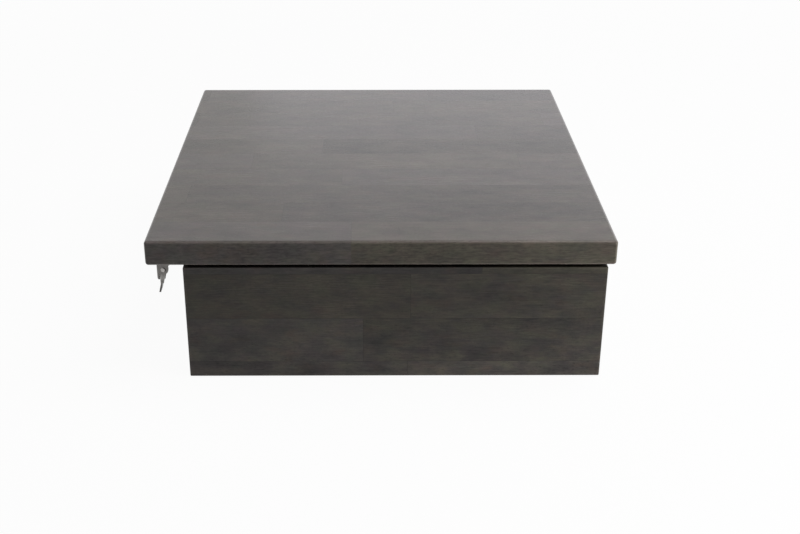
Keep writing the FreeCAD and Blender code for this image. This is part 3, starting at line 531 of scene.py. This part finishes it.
# metals: worked along one axis, with smudges and fine lines
slideSides = ("left_", "right_")
metalLooks = {
    "railSteel": {
        "nodes": [side + part for side in slideSides for part in ("outer_rail", "middle_rail", "inner_rail")],
        "bright": rgb(0.66, 0.67, 0.68),
        "dull": rgb(0.52, 0.54, 0.57),
        "rolled": True,
        "line": (0.09, 0.0004, 0.0004),
        "smudge": 0.03,
        "roughness": 0.27,
        "lineDepth": 0.14,
        "smudgeDepth": 0.12,
        "bump": 0.00002,
    },
    "cageSteel": {
        "nodes": [side + part for side in slideSides for part in ("outer_cage", "inner_cage")],
        "bright": rgb(0.58, 0.58, 0.57),
        "dull": rgb(0.44, 0.44, 0.44),
        "rolled": True,
        "line": (0.04, 0.0005, 0.0005),
        "smudge": 0.02,
        "roughness": 0.36,
        "lineDepth": 0.14,
        "smudgeDepth": 0.14,
        "bump": 0.00002,
    },
    "ballSteel": {
        "nodes": [side + part for side in slideSides for part in ("outer_balls", "inner_balls")],
        "bright": rgb(0.72, 0.72, 0.73),
        "dull": rgb(0.62, 0.62, 0.63),
        "line": (0.0015, 0.0015, 0.0015),
        "smudge": 0.004,
        "roughness": 0.09,
        "lineDepth": 0.04,
        "smudgeDepth": 0.08,
        "bump": 0.000004,
    },
    "clipSteel": {
        "nodes": ["front_clip_housing", "rear_clip_housing"],
        "bright": rgb(0.20, 0.19, 0.18),
        "dull": rgb(0.10, 0.096, 0.092),
        "line": (0.0008, 0.0008, 0.02),
        "smudge": 0.009,
        "roughness": 0.33,
        "lineDepth": 0.16,
        "smudgeDepth": 0.16,
        "bump": 0.00002,
    },
    "tongueSteel": {
        "nodes": ["front_clip_tongue", "rear_clip_tongue"],
        "bright": rgb(0.42, 0.41, 0.39),
        "dull": rgb(0.075, 0.072, 0.069),
        "line": (0.0008, 0.0008, 0.02),
        "smudge": 0.004,
        "tipDark": 0.45,
        "tipShare": 0.6,
        "roughness": 0.3,
        "lineDepth": 0.16,
        "smudgeDepth": 0.16,
        "bump": 0.00002,
    },
    "rivetSteel": {
        "nodes": [],
        "bright": rgb(0.40, 0.385, 0.37),
        "dull": rgb(0.28, 0.27, 0.26),
        "line": (0.002, 0.002, 0.002),
        "smudge": 0.004,
        "roughness": 0.2,
        "lineDepth": 0.08,
        "smudgeDepth": 0.1,
        "bump": 0.00002,
    },
    "screwSteel": {
        "nodes": [],
        "bright": rgb(0.68, 0.67, 0.63),
        "dull": rgb(0.52, 0.52, 0.50),
        "line": (0.0012, 0.0012, 0.0012),
        "smudge": 0.003,
        "roughness": 0.27,
        "lineDepth": 0.12,
        "smudgeDepth": 0.12,
        "bump": 0.00002,
    },
    "castZinc": {
        "nodes": [],
        "bright": rgb(0.56, 0.57, 0.58),
        "dull": rgb(0.40, 0.41, 0.42),
        "line": (0.0006, 0.0006, 0.0006),
        "smudge": 0.004,
        "roughness": 0.46,
        "lineDepth": 0.16,
        "smudgeDepth": 0.12,
        "bump": 0.00006,
    },
}
metalHue = {"lines": 0.5, "smudge": 0.7, "brighter": 0.1, "ends": (0.1, 0.9)}


def metalFinish(name, look):
    material, start = newFinish(name)
    coords = objectCoords(start)
    if "rolled" in look:  # rolled lines run with the rails, along y
        x, y, z = coords.split()
        coords = start.join(y, x, z)
    lines = coords.noise(look["line"], **fineNoise)
    smudge = coords.noise((look["smudge"],) * 3, **fineNoise)
    hue = lines * metalHue["lines"] + smudge * metalHue["smudge"] - metalHue["brighter"]
    if "tipDark" in look:  # the tongue is darker towards its lower end
        low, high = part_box(look["nodes"][0])
        up = (coords.split()[2] - low.z) / (high.z - low.z)
        hue = hue + (1 - up.rise(0.0, look["tipShare"])) * look["tipDark"]
    roughness = (lines - 0.5) * look["lineDepth"] + (smudge - 0.5) * look["smudgeDepth"]
    surface(
        start,
        Base_Color=hue.rise(*metalHue["ends"]).mix(look["bright"], look["dull"]),
        Metallic=1.0,
        Roughness=roughness + look["roughness"],
        Normal=lines.bump(look["bump"]),
    )
    for node in look["nodes"]:
        wear(node, material)
    return material


metals = {name: metalFinish(name, look) for name, look in metalLooks.items()}
print("metals finished")

# plastic, rubber and raw dowels: an even fine grain and broad patches
mouldedLooks = {
    "stopPlastic": {
        "nodes": ["left_slide_stop", "right_slide_stop"],
        "base": rgb(0.022, 0.022, 0.024),
        "worn": rgb(0.045, 0.045, 0.047),
        "grain": 0.0005,
        "roughness": 0.42,
        "bump": 0.00004,
        "clear": 0.0,
    },
    "bumperRubber": {
        "nodes": [],
        "base": rgb(0.55, 0.56, 0.56),
        "worn": rgb(0.66, 0.66, 0.64),
        "grain": 0.0012,
        "roughness": 0.3,
        "bump": 0.00002,
        "clear": 0.65,
    },
    "dowelWood": {
        "nodes": [],
        "base": rgb(0.58, 0.42, 0.26),
        "worn": rgb(0.46, 0.30, 0.17),
        "grain": 0.0009,
        "roughness": 0.6,
        "bump": 0.0001,
        "clear": 0.0,
    },
}
mouldedHue = {"fine": 0.4, "broad": 0.8, "cleaner": 0.1, "ends": (0.2, 0.9)}
mouldedRough = {"fine": 0.12, "broad": 0.1}
patchGrains = 14  # a patch is this many grains across


def mouldedFinish(name, look):
    material, start = newFinish(name)
    coords = objectCoords(start)
    fine = coords.noise((look["grain"],) * 3, **fineNoise)
    broad = coords.noise((look["grain"] * patchGrains,) * 3)
    hue = fine * mouldedHue["fine"] + broad * mouldedHue["broad"] - mouldedHue["cleaner"]
    roughness = (fine - 0.5) * mouldedRough["fine"] + (broad - 0.5) * mouldedRough["broad"]
    surface(
        start,
        Base_Color=hue.rise(*mouldedHue["ends"]).mix(look["base"], look["worn"]),
        Roughness=roughness + look["roughness"],
        Transmission_Weight=look["clear"],
        Normal=fine.bump(look["bump"]),
    )
    for node in look["nodes"]:
        wear(node, material)
    return material


moulded = {name: mouldedFinish(name, look) for name, look in mouldedLooks.items()}
print("moulded pieces finished")


# small turned and cut hardware, modelled standing along z and then set where the frame has it
cadMerge, cutMerge, cutGap = 1e-6, 1e-7, 1e-8  # metres within which two corners are one


def unselect():
    bpy.ops.object.select_all(action="DESELECT")


def solidBoxes(node):
    # low and high corners of each solid in a group, read from a split copy
    unselect()
    copy = bpy.data.objects.new("splitCopy", nodes[node].data.copy())
    scene.collection.objects.link(copy)
    copy.select_set(True)
    bpy.context.view_layer.objects.active = copy
    bpy.ops.object.mode_set(mode="EDIT")
    bpy.ops.mesh.select_all(action="SELECT")
    bpy.ops.mesh.remove_doubles(threshold=cadMerge)
    bpy.ops.mesh.separate(type="LOOSE")
    bpy.ops.object.mode_set(mode="OBJECT")
    boxes = []
    for part in bpy.context.selected_objects[:]:
        columns = list(zip(*(vertex.co for vertex in part.data.vertices)))
        boxes.append((Vector(map(min, columns)), Vector(map(max, columns))))
        bpy.data.objects.remove(part)
    return sorted(boxes, key=lambda box: tuple(box[0]))


def turnPiece(name, steps, sides=32):
    # a disc drawn out along z, one (height, radius) after another
    unselect()
    z, radius = steps[0]
    bpy.ops.mesh.primitive_circle_add(vertices=sides, radius=radius, fill_type="NGON", location=(0, 0, 0))
    piece = bpy.context.object
    piece.name = name
    bpy.ops.object.mode_set(mode="EDIT")
    bpy.ops.transform.translate(value=(0, 0, z))
    for nextZ, nextRadius in steps[1:]:
        bpy.ops.mesh.extrude_region_move(TRANSFORM_OT_translate={"value": (0, 0, nextZ - z)})
        growth = nextRadius / radius
        bpy.ops.transform.resize(value=(growth, growth, 1), center_override=(0, 0, nextZ))
        z, radius = nextZ, nextRadius
    bpy.ops.mesh.select_all(action="SELECT")
    bpy.ops.mesh.normals_make_consistent(inside=False)
    bpy.ops.object.mode_set(mode="OBJECT")
    return piece


# one tooth of a thread, step by step: outwards in shares of its depth, upwards in shares of the pitch
toothSteps = ((0, 0.36), (1, 0.2), (0, 0.06), (-1, 0.2), (0, 0.18))
threadLook = {"stepsPerTurn": 20, "spareTurns": 3, "startBelow": 1.237, "pointEnd": 0.06}


def threadRod(name, root, tip, pitch, low, high, point=0.0):
    # one tooth wound up a helix and cut square at both ends; the low end may run to a point
    unselect()
    bpy.ops.mesh.primitive_plane_add(size=pitch, location=(0, 0, 0))
    rod = bpy.context.object
    rod.name = name
    bpy.ops.object.mode_set(mode="EDIT")
    bpy.ops.mesh.merge(type="CENTER")
    startZ = low - threadLook["startBelow"] * pitch  # no corner lands on a cut
    bpy.ops.transform.translate(value=(root, 0, startZ))
    for out, up in toothSteps:
        move = (out * (tip - root), 0, up * pitch)
        bpy.ops.mesh.extrude_region_move(TRANSFORM_OT_translate={"value": move})
    bpy.ops.object.mode_set(mode="OBJECT")
    winding = rod.modifiers.new("winding", "SCREW")
    winding.axis, winding.angle, winding.screw_offset = "Z", 2 * math.pi, pitch
    winding.iterations = math.ceil((high - low) / pitch) + threadLook["spareTurns"]
    winding.steps = winding.render_steps = threadLook["stepsPerTurn"]
    bpy.ops.object.modifier_apply(modifier=winding.name)
    bpy.ops.object.mode_set(mode="EDIT")
    bpy.ops.mesh.select_all(action="SELECT")
    bpy.ops.mesh.remove_doubles(threshold=pitch / 1000)  # one turn meets the next
    for height, facing in ((low, -1), (high, 1)):
        bpy.ops.mesh.select_all(action="SELECT")
        bpy.ops.mesh.bisect(
            plane_co=(0, 0, height),
            plane_no=(0, 0, facing),
            use_fill=True,
            clear_outer=True,
            threshold=cutGap,
        )
    bpy.ops.mesh.select_all(action="SELECT")
    bpy.ops.mesh.normals_make_consistent(inside=False)
    bpy.ops.object.mode_set(mode="OBJECT")
    if point:
        for vertex in rod.data.vertices:
            reach = min(1.0, (vertex.co.z - low) / point + threadLook["pointEnd"])
            vertex.co.x *= reach
            vertex.co.y *= reach
    return rod


def combine(piece, other, operation):
    change = piece.modifiers.new("combine", "BOOLEAN")
    change.object, change.operation, change.solver = other, operation, "EXACT"
    unselect()
    piece.select_set(True)
    bpy.context.view_layer.objects.active = piece
    bpy.ops.object.modifier_apply(modifier=change.name)
    bpy.data.objects.remove(other)
    bpy.ops.object.mode_set(mode="EDIT")
    bpy.ops.mesh.select_all(action="SELECT")
    bpy.ops.mesh.remove_doubles(threshold=cutMerge)
    bpy.ops.mesh.normals_make_consistent(inside=False)
    bpy.ops.object.mode_set(mode="OBJECT")


crossTaper = 0.45  # a driver's cross is this much narrower at its foot


def cutCross(piece, top, reach, width, depth):
    # a cube with an arm drawn out of each side, narrower below, cut out of a head
    unselect()
    bpy.ops.mesh.primitive_cube_add(size=width, location=(0, 0, 0))
    cross = bpy.context.object
    for face in cross.data.polygons:
        face.select = abs(face.normal.z) < 0.5
    bpy.ops.object.mode_set(mode="EDIT")
    bpy.ops.mesh.extrude_faces_move(TRANSFORM_OT_shrink_fatten={"value": reach - width / 2})
    bpy.ops.mesh.select_all(action="SELECT")
    bpy.ops.transform.resize(value=(1, 1, 2 * depth / width))
    bpy.ops.object.mode_set(mode="OBJECT")
    for vertex in cross.data.vertices:
        vertex.select = vertex.co.z < 0
    for edge in cross.data.edges:
        edge.select = all(cross.data.vertices[i].select for i in edge.vertices)
    for face in cross.data.polygons:
        face.select = all(cross.data.vertices[i].select for i in face.vertices)
    bpy.ops.object.mode_set(mode="EDIT")
    bpy.ops.transform.resize(value=(crossTaper, crossTaper, 1), center_override=(0, 0, -depth))
    bpy.ops.mesh.select_all(action="SELECT")
    bpy.ops.transform.translate(value=(0, 0, top))
    bpy.ops.mesh.normals_make_consistent(inside=False)
    bpy.ops.object.mode_set(mode="OBJECT")
    combine(piece, cross, "DIFFERENCE")


smoothAngle = math.radians(32)


def setCopies(piece, places, body, replaced, material):
    # one copy at each place, each with its own mesh, joined to one piece that stands for the node
    name = piece.name
    copies = []
    for place in places:
        copy = bpy.data.objects.new(name + "Copy", piece.data.copy())
        copy.data.transform(place)
        scene.collection.objects.link(copy)
        copies.append(copy)
    bpy.data.objects.remove(piece)
    unselect()
    for copy in copies:
        copy.select_set(True)
    bpy.context.view_layer.objects.active = copies[0]
    if len(copies) > 1:
        bpy.ops.object.join()
    group = copies[0]
    group.name = name
    group.data.materials.clear()
    group.data.materials.append(material)
    bpy.ops.object.shade_smooth_by_angle(angle=smoothAngle)
    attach(group, body)
    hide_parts(replaced)


def setAlong(direction, point, spin=0.0):
    # puts a piece's z along a direction, turned about itself
    turn = direction.to_track_quat("Z", "Y").to_matrix().to_4x4()
    return Matrix.Translation(point) @ turn @ Matrix.Rotation(spin, 4, "Z")


middleX = (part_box("back_panel")[0].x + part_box("back_panel")[1].x) / 2


def caseSide(x):
    # 1 on the right of the case's middle, -1 on the left
    return 1 if x > middleX else -1


# heads from below: heights and radii as shares of the head's own
panHead = ((-1, 0.98), (-0.8, 1), (-0.45, 1), (-0.16, 0.88), (-0.03, 0.68), (0, 0.4))
sunkHead = ((-0.12, 1), (-0.036, 1), (0, 0.95))
# screws: points is the way they point, out is away from the middle of the case
screwLooks = {
    "clipScrews": {
        "node": "clip_screws",
        "body": "carcass",
        "points": "up",
        "shape": sunkHead,
        "head": 0.0020,
        "shank": 0.0020,
    },
    "outerRailScrews": {
        "node": "outer_rail_screws",
        "body": "carcass",
        "points": "out",
        "shape": sunkHead,
        "head": 0.0018,
        "shank": 0.0016,
    },
    "innerRailScrews": {
        "node": "inner_rail_screws",
        "body": "drawer",
        "points": "in",
        "shape": sunkHead,
        "head": 0.0018,
        "shank": 0.0016,
    },
    "drawerFrontScrews": {
        "node": "drawer_front_screws",
        "body": "drawer",
        "points": "front",
        "shape": panHead,
        "head": 0.0024,
        "shank": 0.0020,
    },
}
screwThread = {"neck": 0.4, "root": 0.66, "tip": 0.95, "pitch": 0.95, "point": 2.4}  # shares of its radius
screwCross = {"reach": 0.56, "width": 0.24, "depth": 0.72}  # shares of the head's radius and height
screwSides = 40
spinStep = 2.4  # no two heads stop at the same turn


def screwAim(points, middle):
    side = caseSide(middle.x)
    ways = {"up": (0, 0, 1), "front": (0, -1, 0), "out": (side, 0, 0), "in": (-side, 0, 0)}
    return Vector(ways[points])


def makeScrews(name, look):
    boxes = solidBoxes(look["node"])
    low, high = boxes[0]
    length = abs((high - low).dot(screwAim(look["points"], (low + high) / 2)))
    headRadius, shank, head = min(high - low) / 2, look["shank"], look["head"]
    steps = [(-head - shank * screwThread["neck"], shank), (-head, shank)]  # a plain neck under the head
    steps += [(height * head, radius * headRadius) for height, radius in look["shape"]]
    screw = turnPiece(name, steps, screwSides)
    root, tip, pitch, point = (shank * screwThread[key] for key in ("root", "tip", "pitch", "point"))
    combine(screw, threadRod("rod", root, tip, pitch, -length, -head, point), "UNION")
    reach, width = headRadius * screwCross["reach"], headRadius * screwCross["width"]
    cutCross(screw, 0.0, reach, width, head * screwCross["depth"])
    places = []
    for i, (low, high) in enumerate(boxes):
        middle = (low + high) / 2
        aim = screwAim(look["points"], middle)
        places.append(setAlong(-aim, middle - aim * length / 2, i * spinStep))
    setCopies(screw, places, look["body"], look["node"], metals["screwSteel"])


for name, look in screwLooks.items():
    makeScrews(name, look)
print("screws driven")

# cams: zinc drums in the side panels, a mouth for the bolt in the upper side
camLook = {
    "sides": 48,
    "rim": 0.0004,
    "land": 0.0012,
    "dish": 0.0004,
    "dishEdge": 0.0016,
    "crossReach": 0.0034,
    "crossWidth": 0.0016,
    "crossDepth": 0.0038,
    "markRadius": 0.0011,
    "markReach": 0.0050,
    "boltDepth": 0.0080,
    "mouth": 0.0040,
    "mouthTurns": (0.05, 0.3, 0.6, 0.9, 1.2, math.pi / 2),
    "mouthEnd": 1.2,
}


def ballSteps(radius, turns):
    # a ball's outline from its lowest point upwards
    return [(-radius * math.cos(turn), radius * math.sin(turn)) for turn in turns]


def makeCams(look):
    boxes = solidBoxes("cams")
    low, high = boxes[0]
    depth, radius = high.x - low.x, (high.z - low.z) / 2
    rim, dish = look["rim"], look["dish"]
    steps = [(-depth, radius - rim), (rim - depth, radius), (-rim, radius), (0, radius - rim)]
    steps += [(0, radius - look["land"]), (-dish, radius - look["dishEdge"])]
    cam = turnPiece("camDrums", steps, look["sides"])
    cutCross(cam, -dish, look["crossReach"], look["crossWidth"], look["crossDepth"])
    unselect()
    bpy.ops.mesh.primitive_cylinder_add(
        vertices=3, radius=look["markRadius"], depth=2 * dish, location=(0, 0, 0)
    )
    mark = bpy.context.object
    mark.data.transform(Matrix.Translation((0, look["markReach"], -dish)))
    combine(cam, mark, "DIFFERENCE")
    steps = ballSteps(look["mouth"], look["mouthTurns"]) + [(radius * look["mouthEnd"], look["mouth"])]
    cutter = turnPiece("mouthCutter", steps)  # round below, open above
    sink = Matrix.Translation((0, 0, -look["boltDepth"]))
    cutter.data.transform(sink @ Matrix.Rotation(-math.pi / 2, 4, "X"))
    combine(cam, cutter, "DIFFERENCE")
    places = []
    for low, high in boxes:
        side = caseSide(low.x)
        face = Vector((low.x if side > 0 else high.x, (low.y + high.y) / 2, (low.z + high.z) / 2))
        inward, up = Vector((-side, 0, 0)), Vector((0, 0, 1))
        turn = Matrix((up.cross(inward), up, inward)).transposed().to_4x4()
        places.append(Matrix.Translation(face) @ turn)
    setCopies(cam, places, "carcass", "cams", metals["castZinc"])


makeCams(camLook)

# the bolts the cams pull on: ball head, neck, plain shank, thread in the top; heights from the ball's middle
boltLook = {
    "ball": 0.0035,
    "ballTurns": (0.06, 0.35, 0.7, 1.05, 1.4, 1.75, 2.1, 2.4),
    "neck": 0.0019,
    "neckStart": 0.0045,
    "neckEnd": 0.0085,
    "shank": 0.0030,
    "shankStart": 0.0091,
    "shankEnd": 0.0240,
    "threadStart": 0.0235,
    "root": 0.0022,
    "tip": 0.00288,
    "pitch": 0.0018,
}


def makeBolts(look):
    boxes = solidBoxes("cam_bolts")
    low, high = boxes[0]
    ball, neck, shank = look["ball"], look["neck"], look["shank"]
    end = high.z - low.z - ball
    steps = ballSteps(ball, look["ballTurns"])
    steps += [(look["neckStart"], neck), (look["neckEnd"], neck)]
    steps += [(look["shankStart"], shank), (look["shankEnd"], shank)]
    bolt = turnPiece("camBolts", steps)
    thread = threadRod("thread", look["root"], look["tip"], look["pitch"], look["threadStart"], end)
    combine(bolt, thread, "UNION")
    places = []
    for low, high in boxes:
        middle = (low + high) / 2
        places.append(Matrix.Translation((middle.x, middle.y, low.z + ball)))
    setCopies(bolt, places, "carcass", "cam_bolts", metals["screwSteel"])


makeBolts(boltLook)
print("cams and bolts set")

# rivets: a shank with a dome closed at each end, the dome as shares of its height and radius
rivetDome = ((0.0, 1.0), (0.16, 1.0), (0.5, 0.9), (0.78, 0.7), (0.93, 0.45), (1.0, 0.08))
rivetLook = {"crown": 0.0012, "shank": 0.0018}
frontward = Vector((0, -1, 0))


def makeRivet(name, node, look):
    low, high = solidBoxes(node)[0]
    half, radius, crown = (high.y - low.y) / 2, (high.z - low.z) / 2, look["crown"]
    upper = [(half - crown + crown * height, radius * share) for height, share in rivetDome]
    lower = [(-z, share) for z, share in reversed(upper)]
    rivet = turnPiece(name, lower + [(crown - half, look["shank"]), (half - crown, look["shank"])] + upper)
    place = setAlong(frontward, (low + high) / 2)
    setCopies(rivet, [place], "carcass", node, metals["rivetSteel"])


for end in ("front", "rear"):
    makeRivet(end + "ClipRivet", end + "_clip_rivet", rivetLook)

# bumpers: low clear domes on the front edges of the sides
bumperDome = ((0.0, 0.97), (0.12, 1.0), (0.36, 0.96), (0.62, 0.83), (0.84, 0.6), (0.96, 0.32), (1.0, 0.05))


def makeBumpers(dome):
    boxes = solidBoxes("front_bumpers")
    low, high = boxes[0]
    height, radius = high.y - low.y, (high.z - low.z) / 2
    bumper = turnPiece("frontBumpers", [(rise * height, share * radius) for rise, share in dome])
    places = []
    for low, high in boxes:
        foot = Vector(((low.x + high.x) / 2, high.y, (low.z + high.z) / 2))
        places.append(setAlong(frontward, foot))
    setCopies(bumper, places, "carcass", "front_bumpers", moulded["bumperRubber"])


makeBumpers(bumperDome)

# dowels: beech pins with flutes and eased ends
dowelLook = {"flutes": 20, "fluteShare": 0.92, "ease": 0.0012}


def makeDowels(look):
    boxes = solidBoxes("panel_dowels")
    low, high = boxes[0]
    spans = sorted(high - low)
    radius, half, ease = spans[0] / 2, spans[2] / 2, look["ease"]
    steps = [(-half, radius - ease), (ease - half, radius), (half - ease, radius), (half, radius - ease)]
    dowel = turnPiece("panelDowels", steps, 2 * look["flutes"])
    for vertex in dowel.data.vertices:  # every other line of the side is a flute
        line = math.atan2(vertex.co.y, vertex.co.x) / math.pi * look["flutes"]
        if abs(vertex.co.z) < half - ease / 2 and round(line) % 2:
            vertex.co.x *= look["fluteShare"]
            vertex.co.y *= look["fluteShare"]
    places = []
    for low, high in boxes:
        span = high - low
        way = Vector((1, 0, 0)) if span.x > span.z else Vector((0, 0, 1))
        places.append(setAlong(way, (low + high) / 2))
    setCopies(dowel, places, "carcass", "panel_dowels", moulded["dowelWood"])


makeDowels(dowelLook)
print("rivets, bumpers and dowels set")

# studio: a pale floor under a white sky, a broad lamp overhead, a small one low in front, a broad one behind
studio = {
    "floorSize": 14.0,
    "floorColour": rgb(0.82, 0.82, 0.81),
    "floorSeen": rgb(0.97, 0.97, 0.97),
    "floorGlow": 0.955,
    "shadowFade": (0.7, 3.2),
    "white": rgb(1, 1, 1),
    "sky": 0.12,
    "lamps": {
        "overheadLamp": {
            "place": (0.9, -0.1, 1.75),
            "aim": (0.1, -0.1, 0.1),
            "size": (1.6, 1.6),
            "power": 25.0,
            "colour": (1, 1, 1),
        },
        "frontLamp": {
            "place": (0.74, -0.66, 0.05),
            "aim": (0.2, -0.24, 0.0),
            "size": (0.5, 0.24),
            "power": 4.2,
            "colour": (1, 1, 1),
        },
        "rearLamp": {
            "place": (0.90, 2.4, 0.66),
            "aim": (0.15, 0.2, 0.15),
            "size": (2.7, 1.0),
            "power": 3.9,
            "colour": (0.89, 0.88, 1.0),
        },
    },
}


def seenDirectly(start):
    # 1 for rays that show the background itself
    path = start.node("ShaderNodeLightPath", None, None, "Is Camera Ray")
    return path.most(path.out("Is Glossy Ray")).most(path.out("Is Transmission Ray"))


def makeFloor(look):
    bpy.ops.mesh.primitive_plane_add(size=look["floorSize"], location=(0, 0, 0))
    floor = bpy.context.object
    floor.name = "studioFloor"
    material, start = newFinish("studioFloorFinish")
    x, y = objectCoords(start).split()[:2]
    away = ((x * x + y * y) ** 0.5).rise(*look["shadowFade"])
    seen = seenDirectly(start)
    factor = seen * (away * (1 - look["floorGlow"]) + look["floorGlow"])
    colour = seen.mix(look["floorColour"], look["floorSeen"])
    matt = start.node("ShaderNodeBsdfDiffuse", None, {"Color": colour})
    glow = start.node("ShaderNodeEmission", None, {"Color": look["white"], "Strength": 1.0})
    both = start.node("ShaderNodeMixShader", None, {0: factor, 1: matt, 2: glow})
    start.node("ShaderNodeOutputMaterial", None, {"Surface": both})
    floor.data.materials.append(material)


def makeSky(look):
    world = bpy.data.worlds.new("studioSky")
    scene.world = world
    world.use_nodes = True
    world.node_tree.nodes.clear()
    start = Wire(world.node_tree)
    strength = seenDirectly(start) * (1 - look["sky"]) + look["sky"]
    sky = start.node("ShaderNodeBackground", None, {"Color": look["white"], "Strength": strength})
    start.node("ShaderNodeOutputWorld", None, {"Surface": sky})


def makeLamp(name, look):
    aim = Vector(look["aim"]) - Vector(look["place"])
    turn = aim.to_track_quat("-Z", "Y").to_euler()
    bpy.ops.object.light_add(type="AREA", location=look["place"], rotation=turn)
    lamp = bpy.context.object
    lamp.name = name
    lamp.data.shape = "RECTANGLE"
    lamp.data.size, lamp.data.size_y = look["size"]
    lamp.data.energy = look["power"]
    lamp.data.color = look["colour"]
    lamp.visible_camera = False


makeFloor(studio)
makeSky(studio)
for name, look in studio["lamps"].items():
    makeLamp(name, look)
print("studio lit")

cameraLook = {
    "place": (-0.01149, -1.29908, 0.62797),
    "pitchDown": 25.514,
    "yaw": -0.231,
    "lens": 55.316,
    "sensor": 36.0,
    "shiftX": 0.03314,
}
cameraTurn = (math.radians(90 - cameraLook["pitchDown"]), 0, math.radians(cameraLook["yaw"]))
bpy.ops.object.camera_add(location=cameraLook["place"], rotation=cameraTurn)
camera = bpy.context.object
camera.name = "photoCamera"
camera.data.lens = cameraLook["lens"]
camera.data.sensor_width = cameraLook["sensor"]
camera.data.shift_x = cameraLook["shiftX"]
scene.camera = camera
print("camera placed")
